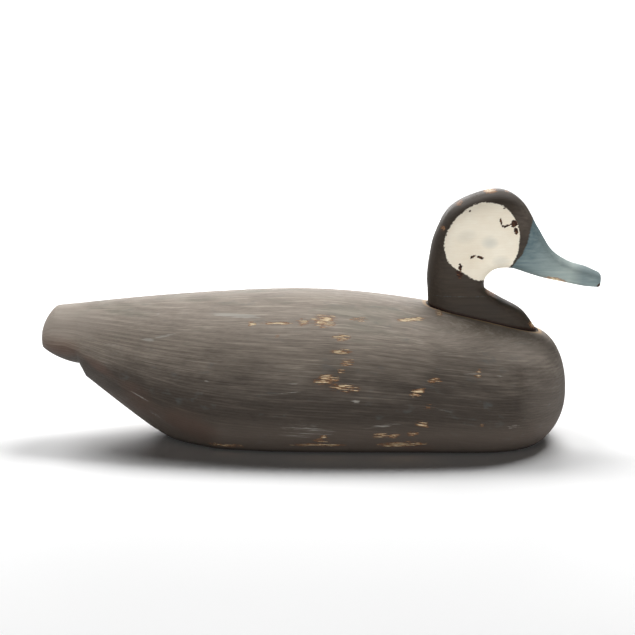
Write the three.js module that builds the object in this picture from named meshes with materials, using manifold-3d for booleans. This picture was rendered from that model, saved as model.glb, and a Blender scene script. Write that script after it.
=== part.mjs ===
// A ruddy duck decoy in carved wood: one block for the body and tail, one piece for head, neck and bill.
// Millimetres, +Z up, +X towards the bill. The origin is on the underside, below the middle of the length.

import * as THREE from "three";
import { mergeVertices } from "three/addons/utils/BufferGeometryUtils.js";
import Module from "manifold-3d";

// Body, along its length
const TAIL_END_X = -164.5;
const NOTCH_X = -142.4;
const HEEL_X = -137.4;
const BREAST_X = 144.6;

// Back line, seen from the side
const CREST_X = -17;
const CREST_Z = 86.9;
const TAIL_DROP = 9;
const TAIL_DROP_RUN = 138;
const TAIL_DROP_POWER = 1.55;
const NECK_DROP = 22.6;
const NECK_DROP_RUN = 144;
const NECK_DROP_POWER = 1.85;

// Line of greatest width, seen from the side
const WIDEST_Z = 36;
const WIDEST_RISE = 22.7;
const WIDEST_RISE_START_X = -10;
const WIDEST_RISE_RUN = 139;
const WIDEST_RISE_POWER = 2.2;
const BREAST_TIP_Z = 29.5;
const BREAST_FALL_START_X = 60;

// Keel line, seen from the side, before the underside is planed flat
const KEEL_Z = -12;
const HEEL_Z = 33.1;
const RUMP_SLOPE = 0.837;
const RUMP_BLEND = 16.4;
const NOTCH_Z = 43.3;
const TAIL_UNDER_RISE = 9.4;
const TAIL_UNDER_POWER = 1.65;

// Outline, seen from above
const HALF_WIDTH = 71;
const WIDEST_X = 10;
const NOTCH_HALF_WIDTH = 27.5;
const TAIL_END_HALF_WIDTH = 24;
const TAPER_POWER = 2.1;

// Rounded ends: where each line starts to close, how far the closing runs, and how full it is
const TAIL_TOP_ROUND = { start: 155.7, run: 9.45, fullness: 1.3 };
const TAIL_PLAN_ROUND = { start: 145.8, run: 19.1, fullness: 3.7 };
const BREAST_TOP_ROUND = { start: 120, run: BREAST_X - 120, fullness: 4 };
const BREAST_PLAN_ROUND = { start: 68, run: BREAST_X - 68, fullness: 3.2 };
const BREAST_KEEL_ROUND = { start: 92, run: BREAST_X - 92, fullness: 2.3 };

// Roundness of the cross-sections: 2 is an ellipse, more is squarer, less is nearer to a wedge
const BACK_SQUARENESS = 2.2;
const BILGE_SQUARENESS = 2.3;
const TAIL_SQUARENESS = 1.5;
const HEEL_SQUARENESS = 1.7;
const RUMP_HOLLOW = 0.1;
const RUMP_END_X = -60;
const RUMP_SHARE_POWER = 3;

// Number of facets
const BODY_RING_FACETS = 48;
const TAIL_STEPS = 7;
const SIDE_STEPS = 26;
const BREAST_STEPS = 13;

// Head ribs, from the foot of the neck round the throat to the tip of the bill. Each rib runs from a
// point on the inner line (neck front, throat, chin, bill underside) to one on the outer line (nape,
// crown, forehead, bill top). Half is its half thickness, square the squareness of its section.
const HEAD_RIBS = [
  { inner: [127.3, 64.0], outer: [63.2, 79.2], half: 17.8, square: 3.2 },
  { inner: [119.1, 74.9], outer: [62.9, 87.0], half: 17.4, square: 3.2 },
  { inner: [107.2, 81.6], outer: [62.5, 95.5], half: 17.0, square: 3.2 },
  { inner: [98.0, 86.8], outer: [63.7, 106.5], half: 17.0, square: 3.2 },
  { inner: [95.8, 91.2], outer: [66.9, 120.4], half: 17.6, square: 3.4 },
  { inner: [96.8, 95.8], outer: [75.6, 135.9], half: 18.6, square: 3.6 },
  { inner: [101.4, 99.9], outer: [90.6, 144.1], half: 19.2, square: 3.6 },
  { inner: [107.0, 101.0], outer: [106.0, 146.5], half: 19.0, square: 3.6 },
  { inner: [112.8, 100.5], outer: [117.9, 139.9], half: 17.6, square: 3.4 },
  { inner: [120.3, 98.0], outer: [126.9, 125.2], half: 15.0, square: 3.2 },
  { inner: [129.5, 95.1], outer: [135.3, 111.6], half: 12.6, square: 3.0 },
  { inner: [142.0, 92.4], outer: [145.4, 104.5], half: 11.4, square: 2.8 },
  { inner: [153.5, 90.0], outer: [155.8, 101.2], half: 11.2, square: 2.6 },
  { inner: [161.8, 89.1], outer: [162.8, 98.1], half: 9.6, square: 2.6 },
];
const RIB_STEPS = 4;
const HEAD_RING_FACETS = 34;
const BILL_TIP_RUN = 1.95;
const BILL_TIP_SHRINK = 0.62;

// Neck seat in the back: the head keeps this gap all round and below
const SEAT_GAP = 0.35;
const SEAT_CUTTER_HEIGHT = 12;

// Wood taken off under the plane on which the decoy stands
const PLANING_DEPTH = 40;

// Paint
const PAINT_ROUGHNESS = 0.75;
const BODY_COLOUR = 0x6f675f;
const HEAD_COLOUR = 0x3b3630;

// How much of a line's height or width is left at a distance past the start of a rounded end
function closing(distance, round) {
  const share = THREE.MathUtils.clamp((distance - round.start) / round.run, 0, 1);
  return Math.sqrt(1 - share ** round.fullness);
}

function softMax(a, b, blend) {
  return (a + b + Math.hypot(a - b, blend)) / 2;
}

function widestHeight(x) {
  const rise = THREE.MathUtils.clamp((WIDEST_RISE_START_X - x) / WIDEST_RISE_RUN, 0, 1);
  const fall = THREE.MathUtils.clamp((x - BREAST_FALL_START_X) / (BREAST_X - BREAST_FALL_START_X), 0, 1);
  return WIDEST_Z + WIDEST_RISE * rise ** WIDEST_RISE_POWER - (WIDEST_Z - BREAST_TIP_Z) * fall;
}

function backHeight(x) {
  const side = widestHeight(x);
  const behind = Math.max(CREST_X - x, 0) / TAIL_DROP_RUN;
  const ahead = Math.max(x - CREST_X, 0) / NECK_DROP_RUN;
  const line = CREST_Z - TAIL_DROP * behind ** TAIL_DROP_POWER - NECK_DROP * ahead ** NECK_DROP_POWER;
  return side + (line - side) * closing(-x, TAIL_TOP_ROUND) * closing(x, BREAST_TOP_ROUND);
}

function keelHeight(x) {
  if (x <= NOTCH_X) {
    const share = (NOTCH_X - x) / (NOTCH_X - TAIL_END_X);
    return NOTCH_Z + TAIL_UNDER_RISE * share ** TAIL_UNDER_POWER;
  }
  if (x < HEEL_X) {
    return THREE.MathUtils.mapLinear(x, NOTCH_X, HEEL_X, NOTCH_Z, HEEL_Z);
  }
  const rump = HEEL_Z - RUMP_SLOPE * (x - HEEL_X);
  const line = softMax(rump, KEEL_Z, RUMP_BLEND);
  const side = widestHeight(x);
  return side - (side - line) * closing(x, BREAST_KEEL_ROUND);
}

function halfWidth(x) {
  const taper = THREE.MathUtils.clamp((WIDEST_X - x) / (WIDEST_X - NOTCH_X), 0, 1);
  const tail = Math.max(NOTCH_X - x, 0) / (NOTCH_X - TAIL_END_X);
  const side = HALF_WIDTH - (HALF_WIDTH - NOTCH_HALF_WIDTH) * taper ** TAPER_POWER;
  const width = side - (NOTCH_HALF_WIDTH - TAIL_END_HALF_WIDTH) * tail;
  return width * closing(-x, TAIL_PLAN_ROUND) * closing(x, BREAST_PLAN_ROUND);
}

// Share of the rump's shape that a station has: 1 at the heel, 0 where the flat underside is full
function rumpShare(x) {
  if (x < HEEL_X) {
    return 0;
  }
  return 1 - THREE.MathUtils.clamp((x - HEEL_X) / (RUMP_END_X - HEEL_X), 0, 1) ** RUMP_SHARE_POWER;
}

function lowerSquareness(x) {
  if (x >= HEEL_X) {
    return THREE.MathUtils.lerp(BILGE_SQUARENESS, HEEL_SQUARENESS, rumpShare(x));
  }
  const share = THREE.MathUtils.clamp((x - NOTCH_X) / (HEEL_X - NOTCH_X), 0, 1);
  return THREE.MathUtils.lerp(TAIL_SQUARENESS, HEEL_SQUARENESS, share);
}

function superellipse(angle, squareness) {
  const power = 2 / squareness;
  const across = Math.sign(Math.sin(angle)) * Math.abs(Math.sin(angle)) ** power;
  const up = Math.sign(Math.cos(angle)) * Math.abs(Math.cos(angle)) ** power;
  return { across, up };
}

function bodyRing(x) {
  const side = widestHeight(x);
  const rump = rumpShare(x);
  const below = lowerSquareness(x);
  const ring = [];
  for (let i = 0; i < BODY_RING_FACETS; i += 1) {
    const angle = (2 * Math.PI * i) / BODY_RING_FACETS;
    const upper = Math.cos(angle) >= 0;
    const point = superellipse(angle, upper ? BACK_SQUARENESS : below);
    const reach = upper ? backHeight(x) - side : side - keelHeight(x);
    const hollow = upper ? 0 : RUMP_HOLLOW * rump * Math.sin(2 * angle) ** 2;
    ring.push(new THREE.Vector3(x, halfWidth(x) * point.across * (1 - hollow), side + reach * point.up));
  }
  return ring;
}

// A closed skin over rings of the same number of points, with a middle point at each end
function skin(rings, firstMiddle, lastMiddle) {
  const facets = rings[0].length;
  const points = rings.flat();
  points.push(firstMiddle, lastMiddle);
  const first = points.length - 2;
  const last = points.length - 1;
  const index = [];
  for (let r = 0; r + 1 < rings.length; r += 1) {
    for (let i = 0; i < facets; i += 1) {
      const a = r * facets + i;
      const b = r * facets + ((i + 1) % facets);
      index.push(a, b + facets, b);
      index.push(a, a + facets, b + facets);
    }
  }
  const end = (rings.length - 1) * facets;
  for (let i = 0; i < facets; i += 1) {
    const next = (i + 1) % facets;
    index.push(first, i, next);
    index.push(last, end + next, end + i);
  }
  const geometry = new THREE.BufferGeometry().setFromPoints(points);
  geometry.setIndex(index);
  return geometry;
}

function middle(ring) {
  const sum = new THREE.Vector3();
  ring.forEach((point) => sum.add(point));
  return sum.divideScalar(ring.length);
}

function bodyStations() {
  const stations = [];
  for (let i = 0; i < TAIL_STEPS; i += 1) {
    const turn = (Math.PI / 2) * (i / TAIL_STEPS);
    stations.push(NOTCH_X + (TAIL_END_X - NOTCH_X) * Math.cos(turn));
  }
  stations.push(NOTCH_X);
  for (let i = 0; i <= SIDE_STEPS; i += 1) {
    stations.push(THREE.MathUtils.mapLinear(i, 0, SIDE_STEPS, HEEL_X, BREAST_KEEL_ROUND.start));
  }
  for (let i = 1; i < BREAST_STEPS; i += 1) {
    const turn = (Math.PI / 2) * (i / BREAST_STEPS);
    stations.push(BREAST_KEEL_ROUND.start + BREAST_KEEL_ROUND.run * Math.sin(turn));
  }
  return stations;
}

function bodyBlock() {
  const rings = bodyStations().map(bodyRing);
  return skin(rings, middle(rings[0]), new THREE.Vector3(BREAST_X, 0, BREAST_TIP_Z));
}

// Smooth run through the ribs' sizes
function alongRibs(pick, t) {
  const values = HEAD_RIBS.map((rib) => new THREE.Vector3(...pick(rib)));
  return new THREE.CatmullRomCurve3(values, false, "catmullrom", 0.5).getPoint(t);
}

function headRing(t, grow) {
  const inner = alongRibs((rib) => [rib.inner[0], 0, rib.inner[1]], t);
  const outer = alongRibs((rib) => [rib.outer[0], 0, rib.outer[1]], t);
  const size = alongRibs((rib) => [rib.half, rib.square, 0], t);
  const centre = inner.clone().lerp(outer, 0.5);
  const spoke = outer.clone().sub(inner);
  const halfLength = spoke.length() / 2 + grow;
  spoke.normalize();
  const ring = [];
  for (let i = 0; i < HEAD_RING_FACETS; i += 1) {
    const angle = (2 * Math.PI * i) / HEAD_RING_FACETS;
    const point = superellipse(angle, size.y);
    const place = centre.clone().addScaledVector(spoke, halfLength * point.up);
    place.y = (size.x + grow) * point.across;
    ring.push(place);
  }
  return ring;
}

// Unit vector square to the seat, pointing up out of the body
function seatNormal() {
  const foot = HEAD_RIBS[0];
  const run = new THREE.Vector3(foot.inner[0] - foot.outer[0], 0, foot.inner[1] - foot.outer[1]).normalize();
  return new THREE.Vector3(-run.z, 0, run.x);
}

function headPiece() {
  const steps = (HEAD_RIBS.length - 1) * RIB_STEPS;
  const rings = [];
  for (let i = 0; i <= steps; i += 1) {
    rings.push(headRing(i / steps, 0));
  }
  const tipRing = rings[rings.length - 1];
  const tipCentre = middle(tipRing);
  const tipLean = tipCentre.clone().sub(middle(rings[rings.length - 2])).normalize();
  const capCentre = tipCentre.clone().addScaledVector(tipLean, BILL_TIP_RUN);
  rings.push(tipRing.map((point) => capCentre.clone().lerp(
    point.clone().addScaledVector(tipLean, BILL_TIP_RUN), BILL_TIP_SHRINK)));
  return skin(rings, middle(rings[0]), capCentre);
}

// The pocket that the neck stands in: its footprint, grown by the gap and carried up clear of the back
function seatCutter() {
  const up = seatNormal();
  const floor = headRing(0, SEAT_GAP).map((point) => point.addScaledVector(up, -SEAT_GAP));
  const roof = floor.map((point) => point.clone().addScaledVector(up, SEAT_CUTTER_HEIGHT));
  return skin([floor, roof], middle(floor), middle(roof));
}

// Everything below the plane on which the decoy stands
function planingCutter() {
  const geometry = new THREE.BoxGeometry(-4 * TAIL_END_X, 4 * HALF_WIDTH, PLANING_DEPTH);
  geometry.translate(0, 0, -PLANING_DEPTH / 2);
  return geometry;
}

const wasm = await Module();
wasm.setup();

function toSolid(geometry) {
  const bare = geometry.clone();
  bare.deleteAttribute("normal");
  bare.deleteAttribute("uv");
  const merged = mergeVertices(bare);
  return new wasm.Manifold(new wasm.Mesh({
    numProp: 3,
    vertProperties: new Float32Array(merged.attributes.position.array),
    triVerts: new Uint32Array(merged.index.array),
  }));
}

function toGeometry(solid) {
  const mesh = solid.getMesh();
  const geometry = new THREE.BufferGeometry();
  geometry.setAttribute("position", new THREE.BufferAttribute(new Float32Array(mesh.vertProperties), 3));
  geometry.setIndex(new THREE.BufferAttribute(new Uint32Array(mesh.triVerts), 1));
  geometry.computeVertexNormals();
  return geometry;
}

function paintedWood(colour) {
  return new THREE.MeshStandardMaterial({ color: colour, roughness: PAINT_ROUGHNESS, metalness: 0 });
}

function namedMesh(name, geometry, colour) {
  const mesh = new THREE.Mesh(geometry, paintedWood(colour));
  mesh.name = name;
  return mesh;
}

const planedBody = toSolid(bodyBlock()).subtract(toSolid(planingCutter()));
const seatedBody = planedBody.subtract(toSolid(seatCutter()));
const headSolid = toSolid(headPiece());

const decoy = new THREE.Group();
decoy.add(namedMesh("body", toGeometry(seatedBody), BODY_COLOUR));
decoy.add(namedMesh("head", toGeometry(headSolid), HEAD_COLOUR));

export default decoy;
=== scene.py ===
import functools
import itertools
import math

import bpy
import numpy as np
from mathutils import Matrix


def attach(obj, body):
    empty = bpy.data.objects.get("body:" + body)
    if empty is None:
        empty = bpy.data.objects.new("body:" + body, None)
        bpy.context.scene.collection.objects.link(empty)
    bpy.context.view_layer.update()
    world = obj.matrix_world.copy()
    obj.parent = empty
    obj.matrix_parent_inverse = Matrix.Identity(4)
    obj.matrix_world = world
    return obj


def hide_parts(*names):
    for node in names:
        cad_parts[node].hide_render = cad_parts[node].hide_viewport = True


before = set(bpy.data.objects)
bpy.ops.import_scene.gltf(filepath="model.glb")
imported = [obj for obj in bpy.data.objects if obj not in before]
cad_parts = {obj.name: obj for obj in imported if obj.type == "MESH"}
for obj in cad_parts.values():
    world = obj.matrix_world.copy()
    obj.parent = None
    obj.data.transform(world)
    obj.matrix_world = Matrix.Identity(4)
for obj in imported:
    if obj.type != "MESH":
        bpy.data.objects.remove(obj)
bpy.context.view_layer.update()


# Camera: the decoy is seen from its right side, bill to the right, by an eye a little above its back.
# The lens stands 1.2 m away, which gives the slight perspective of a catalogue photograph.
CAMERA_DISTANCE = 1.2
CAMERA_ELEVATION = math.radians(9.5)
VIEW_RIGHT = -0.002
VIEW_UP = 0.0696
FOCAL_LENGTH_MM = 113.95
SENSOR_MM = 36

camera = bpy.data.objects.new("camera", bpy.data.cameras.new("camera"))
camera.data.sensor_width = SENSOR_MM
camera.data.lens = FOCAL_LENGTH_MM
camera.location = (
    VIEW_RIGHT,
    VIEW_UP * math.sin(CAMERA_ELEVATION) - CAMERA_DISTANCE * math.cos(CAMERA_ELEVATION),
    VIEW_UP * math.cos(CAMERA_ELEVATION) + CAMERA_DISTANCE * math.sin(CAMERA_ELEVATION),
)
camera.rotation_euler = (math.pi / 2 - CAMERA_ELEVATION, 0, 0)
bpy.context.scene.collection.objects.link(camera)
bpy.context.scene.camera = camera


# Body: one block of light straight-grained wood, sawn, rounded with a drawknife and sanded, with a thin
# paddle tail and a planed underside. Sizes here are millimetres and become metres when a mesh is made.
# The head stands in a shallow pocket cut in the back, open by a dry crack all round.
MM = 0.001

TAIL_END_X = -164.5
NOTCH_X = -142.4
HEEL_X = -137.4
BREAST_X = 144.6

CREST_X = -17
CREST_Z = 86.9
TAIL_DROP = 9
TAIL_DROP_RUN = 138
TAIL_DROP_POWER = 1.55
NECK_DROP = 22.6
NECK_DROP_RUN = 144
NECK_DROP_POWER = 1.85

WIDEST_Z = 36
WIDEST_RISE = 22.7
WIDEST_RISE_START_X = -10
WIDEST_RISE_RUN = 139
WIDEST_RISE_POWER = 2.2
BREAST_TIP_Z = 29.5
BREAST_FALL_START_X = 60

KEEL_Z = -12
HEEL_Z = 33.1
RUMP_SLOPE = 0.837
RUMP_BLEND = 16.4
NOTCH_Z = 43.3
TAIL_UNDER_RISE = 9.4
TAIL_UNDER_POWER = 1.65

HALF_WIDTH = 71
WIDEST_X = 10
NOTCH_HALF_WIDTH = 27.5
TAIL_END_HALF_WIDTH = 24
TAPER_POWER = 2.1

TAIL_TOP_ROUND = {"start": 155.7, "run": 9.45, "fullness": 1.3}
TAIL_PLAN_ROUND = {"start": 145.8, "run": 19.1, "fullness": 3.7}
BREAST_TOP_ROUND = {"start": 120, "run": BREAST_X - 120, "fullness": 4}
BREAST_PLAN_ROUND = {"start": 68, "run": BREAST_X - 68, "fullness": 3.2}
BREAST_KEEL_ROUND = {"start": 92, "run": BREAST_X - 92, "fullness": 2.3}

BACK_SQUARENESS = 2.2
BILGE_SQUARENESS = 2.3
HEEL_SQUARENESS = 1.7
TAIL_SQUARENESS = 1.5
RUMP_HOLLOW = 0.1
RUMP_END_X = -60
RUMP_SHARE_POWER = 3
UNDER_EDGE_WEAR = 1.6

TAIL_STEPS = 16
NOTCH_STEPS = 5
SIDE_STEPS = 132
BREAST_STEPS = 38
SIDE_ANGLES = 232
UNDER_ANGLES = 20
UNDER_START = 0.76 * math.pi


def closing(distance, rounding):
    """How much of a line's height or width is left at a distance past the start of a rounded end."""
    share = np.clip((distance - rounding["start"]) / rounding["run"], 0, 1)
    return np.sqrt(1 - share ** rounding["fullness"])


def soft_max(a, b, blend):
    return (a + b + np.hypot(a - b, blend)) / 2


def widest_height(x):
    rise = np.clip((WIDEST_RISE_START_X - x) / WIDEST_RISE_RUN, 0, 1)
    fall = np.clip((x - BREAST_FALL_START_X) / (BREAST_X - BREAST_FALL_START_X), 0, 1)
    return WIDEST_Z + WIDEST_RISE * rise**WIDEST_RISE_POWER - (WIDEST_Z - BREAST_TIP_Z) * fall


def back_height(x):
    side = widest_height(x)
    behind = np.maximum(CREST_X - x, 0) / TAIL_DROP_RUN
    ahead = np.maximum(x - CREST_X, 0) / NECK_DROP_RUN
    line = CREST_Z - TAIL_DROP * behind**TAIL_DROP_POWER - NECK_DROP * ahead**NECK_DROP_POWER
    return side + (line - side) * closing(-x, TAIL_TOP_ROUND) * closing(x, BREAST_TOP_ROUND)


def keel_height(x):
    share = np.clip((NOTCH_X - x) / (NOTCH_X - TAIL_END_X), 0, 1)
    tail = NOTCH_Z + TAIL_UNDER_RISE * share**TAIL_UNDER_POWER
    facet = np.interp(x, [NOTCH_X, HEEL_X], [NOTCH_Z, HEEL_Z])
    rump = soft_max(HEEL_Z - RUMP_SLOPE * (x - HEEL_X), KEEL_Z, RUMP_BLEND)
    side = widest_height(x)
    block = side - (side - rump) * closing(x, BREAST_KEEL_ROUND)
    return np.where(x <= NOTCH_X, tail, np.where(x < HEEL_X, facet, block))


def half_width(x):
    taper = np.clip((WIDEST_X - x) / (WIDEST_X - NOTCH_X), 0, 1)
    tail = np.maximum(NOTCH_X - x, 0) / (NOTCH_X - TAIL_END_X)
    side = HALF_WIDTH - (HALF_WIDTH - NOTCH_HALF_WIDTH) * taper**TAPER_POWER
    width = side - (NOTCH_HALF_WIDTH - TAIL_END_HALF_WIDTH) * tail
    return width * closing(-x, TAIL_PLAN_ROUND) * closing(x, BREAST_PLAN_ROUND)


def rump_share(x):
    """How much of the rump's pinched shape a station has: 1 at the heel, 0 where the flat is full."""
    share = 1 - np.clip((x - HEEL_X) / (RUMP_END_X - HEEL_X), 0, 1) ** RUMP_SHARE_POWER
    return np.where(x < HEEL_X, np.interp(x, [NOTCH_X, HEEL_X], [0, 1]), share)


def under_squareness(x):
    """Squareness of the lower half of the section: crisp under the tail, fuller towards the breast."""
    tail = np.interp(x, [NOTCH_X, HEEL_X], [TAIL_SQUARENESS, HEEL_SQUARENESS])
    block = BILGE_SQUARENESS + (HEEL_SQUARENESS - BILGE_SQUARENESS) * rump_share(x)
    return np.where(x < HEEL_X, tail, block)


def superellipse(angle, squareness):
    """Point of a squared circle, as (across, up); the angle starts at the top."""
    power = 2 / squareness
    across = np.sign(np.sin(angle)) * np.abs(np.sin(angle)) ** power
    up = np.sign(np.cos(angle)) * np.abs(np.cos(angle)) ** power
    return across, up


def body_surface(stations, angles):
    """Points of the carved block for each station along it and each angle round it."""
    x = stations[:, None]
    angle = angles[None, :]
    upper = np.cos(angle) >= 0
    side = widest_height(x)
    across, up = superellipse(angle, np.where(upper, BACK_SQUARENESS, under_squareness(x)))
    reach = np.where(upper, back_height(x) - side, side - keel_height(x))
    hollow = np.where(upper, 0, RUMP_HOLLOW * rump_share(x) * np.sin(2 * angle) ** 2)
    y = half_width(x) * across * (1 - hollow)
    z = soft_max(side + reach * up, 0, UNDER_EDGE_WEAR)
    return np.stack([np.broadcast_to(x, y.shape), y, z], axis=-1)


def quarter_turns(steps):
    return np.pi / 2 * np.arange(steps) / steps


body_stations = np.concatenate([
    NOTCH_X + (TAIL_END_X - NOTCH_X) * np.cos(quarter_turns(TAIL_STEPS)),
    np.linspace(NOTCH_X, HEEL_X, NOTCH_STEPS, endpoint=False),
    np.linspace(HEEL_X, BREAST_KEEL_ROUND["start"], SIDE_STEPS, endpoint=False),
    BREAST_KEEL_ROUND["start"] + BREAST_KEEL_ROUND["run"] * np.sin(quarter_turns(BREAST_STEPS)),
])
half_turn = np.concatenate([
    np.linspace(0, UNDER_START, SIDE_ANGLES, endpoint=False),
    np.linspace(UNDER_START, np.pi, UNDER_ANGLES, endpoint=False),
])
body_angles = np.concatenate([half_turn, 2 * np.pi - np.append(half_turn[1:], np.pi)[::-1]])


def soft_noise(points, swell, seed):
    """Smooth random values from -1 to 1. Swell is the size of one wave along x, y and z, in millimetres."""
    cells = 32
    table = np.random.default_rng(seed).uniform(-1, 1, (cells, cells, cells))
    place = points / np.asarray(swell, float) + cells
    cell = np.floor(place).astype(int)
    part = place - cell
    part = part * part * (3 - 2 * part)
    total = np.zeros(points.shape[:-1])
    for corner in itertools.product((0, 1), repeat=3):
        weight = np.prod(np.where(corner, part, 1 - part), axis=-1)
        index = (cell + corner) % cells
        total += weight * table[index[..., 0], index[..., 1], index[..., 2]]
    return total


def surface_normals(grid):
    """Outward unit normals of a closed ring grid, whose second direction runs round the piece."""
    along = np.gradient(grid, axis=0)
    around = np.roll(grid, -1, axis=1) - np.roll(grid, 1, axis=1)
    normal = np.cross(along, around)
    length = np.linalg.norm(normal, axis=-1, keepdims=True)
    return normal / np.maximum(length, 1e-9)


# Growth rings lie round a pith far below the block, so their edges run nearly level along the flanks
# and dip towards the breast.
RING_SPACING = 1.8
PITH_Y = 30
PITH_Z = -240
GRAIN_DIP = 0.0005
GRAIN_DIP_START_X = -40
RING_WANDER = 0.9
RING_WANDER_SWELL = (110, 40, 40)


def grain_dip(x):
    """How far the grain, level over the tail and back, has dipped towards the breast."""
    return GRAIN_DIP * np.maximum(x - GRAIN_DIP_START_X, 0) ** 2


def ring_count(points):
    """Number of growth rings between the pith and each point; whole numbers are the hard late wood."""
    wander = RING_WANDER * soft_noise(points, RING_WANDER_SWELL, seed=11)
    height = points[..., 2] + grain_dip(points[..., 0])
    radius = np.hypot(points[..., 1] - PITH_Y, height - PITH_Z)
    return (radius + wander) / RING_SPACING


RING_RELIEF = 0.035
LATE_WOOD_POWER = 1.5
WEATHERED_SWELL = (60, 25, 18)
TOOL_RELIEF = 0.2
TOOL_FLAT = (46, 18, 13)
EDGE_DENTS = 0.5
EDGE_DENT_SIZE = (9, 9, 6)
EDGE_DENT_Z = 3
PLAIN_BELOW_Z = 2


def wood_relief(points, rings):
    """Depth cut below the carved shape: raised late wood and broad flats left by the drawknife."""
    late_wood = (0.5 + 0.5 * np.cos(2 * np.pi * rings)) ** LATE_WOOD_POWER
    weathered = 0.5 + 0.5 * soft_noise(points, WEATHERED_SWELL, seed=13)
    flats = 0.5 - 0.5 * soft_noise(points, TOOL_FLAT, seed=14)
    return RING_RELIEF * weathered * (1 - late_wood) + TOOL_RELIEF * flats


def ring_faces(ring_total, facets):
    """Quads between neighbouring rings, wound so that they face out."""
    faces = []
    for r in range(ring_total - 1):
        for i in range(facets):
            a = r * facets + i
            b = r * facets + (i + 1) % facets
            faces.append((a, a + facets, b + facets, b))
    return faces


def new_piece(name, points, faces):
    mesh = bpy.data.meshes.new(name)
    mesh.from_pydata([tuple(p) for p in points * MM], [], faces)
    mesh.validate()
    piece = bpy.data.objects.new(name, mesh)
    bpy.context.scene.collection.objects.link(piece)
    return piece


def lofted_piece(name, rings, first_middle, last_middle):
    """A closed mesh over rings of points, with a middle point at each end."""
    ring_total, facets = rings.shape[:2]
    points = np.concatenate([rings.reshape(-1, 3), [first_middle, last_middle]])
    first = len(points) - 2
    last = len(points) - 1
    end = (ring_total - 1) * facets
    faces = ring_faces(ring_total, facets)
    for i in range(facets):
        following = (i + 1) % facets
        faces.append((first, i, following))
        faces.append((last, end + following, end + i))
    return new_piece(name, points, faces)


body_grid = body_surface(body_stations, body_angles)
body_normals = surface_normals(body_grid)
body_cut = wood_relief(body_grid, ring_count(body_grid))
low_edge = np.clip(1 - np.abs(body_grid[..., 2] - EDGE_DENT_Z) / EDGE_DENT_Z, 0, 1)
body_cut += EDGE_DENTS * low_edge * np.clip(soft_noise(body_grid, EDGE_DENT_SIZE, seed=15), 0, 1)
off_the_flat = np.clip(body_grid[..., 2] / PLAIN_BELOW_Z, 0, 1)
body_grid = body_grid - body_normals * (body_cut * off_the_flat)[..., None]
breast_tip = np.array([BREAST_X, 0, BREAST_TIP_Z])
body = lofted_piece("carved_body", body_grid, body_grid[0].mean(axis=0), breast_tip)

# The pocket follows the foot of the neck, which is a squared oval on a seat that slopes to the breast.
FOOT_FRONT = np.array([127.3, 0, 64.0])
FOOT_BACK = np.array([63.2, 0, 79.2])
FOOT_HALF = 17.8
FOOT_SQUARENESS = 3.2
SEAT_GAP = 0.35
CRACK_EXTRA = 0.45
CRACK_SWELL = (9, 9, 9)
SEAT_FACETS = 220
SEAT_CUTTER_HEIGHT = 12

seat_run = FOOT_FRONT - FOOT_BACK
seat_half_length = np.linalg.norm(seat_run) / 2
seat_run = seat_run / np.linalg.norm(seat_run)
seat_up = np.array([-seat_run[2], 0, seat_run[0]])
seat_middle = (FOOT_FRONT + FOOT_BACK) / 2


def seat_outline(grow):
    """Ring of points on the seat, this much outside the foot of the neck."""
    across, along = superellipse(np.linspace(0, 2 * np.pi, SEAT_FACETS, endpoint=False), FOOT_SQUARENESS)
    ring = seat_middle - np.outer((seat_half_length + grow) * along, seat_run)
    ring[:, 1] = (FOOT_HALF + grow) * across
    return ring


crack = CRACK_EXTRA * (0.5 + 0.5 * soft_noise(seat_outline(0), CRACK_SWELL, seed=21))
seat_ring = seat_middle + (seat_outline(SEAT_GAP) - seat_middle) * (1 + crack / FOOT_HALF)[:, None]
seat_floor = seat_ring - SEAT_GAP * seat_up
seat_roof = seat_floor + SEAT_CUTTER_HEIGHT * seat_up
seat_rings = np.stack([seat_floor, seat_roof])
cutter = lofted_piece("seat cutter", seat_rings, seat_floor.mean(axis=0), seat_roof.mean(axis=0))


def keep_modifiers(piece):
    """Gives the piece its mesh as its modifiers leave it."""
    graph = bpy.context.evaluated_depsgraph_get()
    piece.data = bpy.data.meshes.new_from_object(piece.evaluated_get(graph))
    piece.modifiers.clear()


pocket = body.modifiers.new("pocket", "BOOLEAN")
pocket.operation = "DIFFERENCE"
pocket.solver = "EXACT"
pocket.object = cutter
keep_modifiers(body)
bpy.data.objects.remove(cutter)


def points_of(piece):
    """Vertex places of a piece, in millimetres."""
    places = np.zeros(3 * len(piece.data.vertices))
    piece.data.vertices.foreach_get("co", places)
    return places.reshape(-1, 3) / MM


def normals_of(piece):
    directions = np.zeros(3 * len(piece.data.vertices))
    piece.data.vertices.foreach_get("normal", directions)
    return directions.reshape(-1, 3)


def store(piece, name, values):
    """Keeps one number per vertex, which the material reads by name."""
    layer = piece.data.attributes.new(name, "FLOAT", "POINT")
    layer.data.foreach_set("value", np.asarray(values, np.float32))


def store_place(piece, name, places):
    """Keeps one place per vertex, in millimetres."""
    layer = piece.data.attributes.new(name, "FLOAT_VECTOR", "POINT")
    layer.data.foreach_set("vector", np.asarray(places, np.float32).ravel())


SHARP_EDGE = math.radians(38)


def shade_smooth(piece):
    """Smooth shading, with every edge that turns further than this kept sharp."""
    for face in piece.data.polygons:
        face.use_smooth = True
    piece.data.set_sharp_from_angle(angle=SHARP_EDGE)


def spots(points, marks, side):
    """How deep in a mark each point is, 0 outside. A mark is (x, z, length, height, lean, strength)."""
    field = np.zeros(len(points))
    for x, z, length, height, lean, strength in marks:
        turn = math.radians(lean)
        along = (points[:, 0] - x) * math.cos(turn) + (points[:, 2] - z) * math.sin(turn)
        across = (points[:, 2] - z) * math.cos(turn) - (points[:, 0] - x) * math.sin(turn)
        depth = 1 - (2 * along / length) ** 2 - (2 * across / height) ** 2
        field = np.maximum(field, strength * np.clip(depth, 0, 1))
    return np.where(points[:, 1] * side >= 0, field, 0)


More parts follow.
